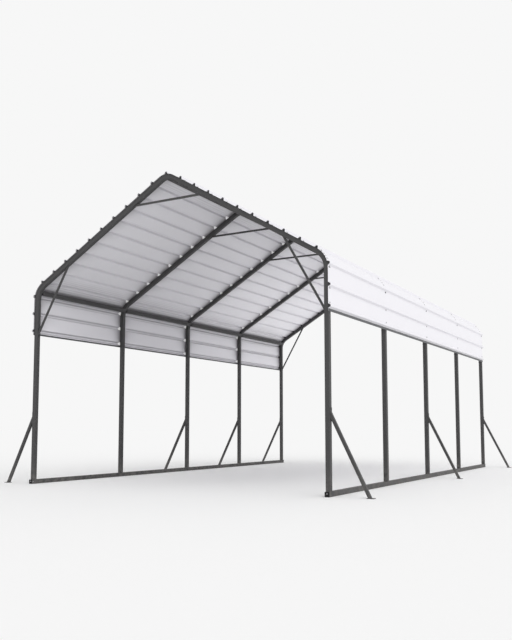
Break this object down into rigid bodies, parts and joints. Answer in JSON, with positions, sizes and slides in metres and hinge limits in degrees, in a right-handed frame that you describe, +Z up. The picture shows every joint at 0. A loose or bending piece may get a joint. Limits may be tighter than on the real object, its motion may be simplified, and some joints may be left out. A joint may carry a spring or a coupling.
{
  "type": "carport",
  "caption": "Open carport: square tube arches on base rails, ribbed roof sheets bent over the eaves, outrigger struts.",
  "frame": {"origin": "centre of the footprint on the ground", "axes": "+Z up, +Y along the roof to the back, front opening at -Y, +X to the right seen from the front"},
  "size_m": [4.48, 6.146, 3.286],
  "materials": {
    "frame": "satin powder coat",
    "sheet": "satin coil coat",
    "edge_trim": "matt",
    "plug": "matt"
  },
  "bodies": {
    "root": {"base_rail_plugs": "plug", "bottom_trims": "edge_trim", "collar_tie_1": "frame", "collar_tie_2": "frame", "collar_tie_3": "frame", "collar_tie_4": "frame", "collar_tie_5": "frame", "knee_braces": "frame", "left_base_rail": "frame", "left_eave_rail": "frame", "left_eave_sheet": "sheet", "left_post_1": "frame", "left_post_2": "frame", "left_post_3": "frame", "left_post_4": "frame", "left_post_5": "frame", "left_slope_sheet_1": "sheet", "left_slope_sheet_2": "sheet", "left_slope_sheet_3": "sheet", "left_strut_1": "frame", "left_strut_3": "frame", "left_strut_4": "frame", "left_strut_5": "frame", "post_spigots": "frame", "ridge_rail": "frame", "ridge_sheet": "sheet", "right_base_rail": "frame", "right_eave_rail": "frame", "right_eave_sheet": "sheet", "right_post_1": "frame", "right_post_2": "frame", "right_post_3": "frame", "right_post_4": "frame", "right_post_5": "frame", "right_slope_sheet_1": "sheet", "right_slope_sheet_2": "sheet", "right_slope_sheet_3": "sheet", "right_strut_1": "frame", "right_strut_3": "frame", "right_strut_5": "frame", "roof_arch_1": "frame", "roof_arch_2": "frame", "roof_arch_3": "frame", "roof_arch_4": "frame", "roof_arch_5": "frame"}
  },
  "joints": []
}
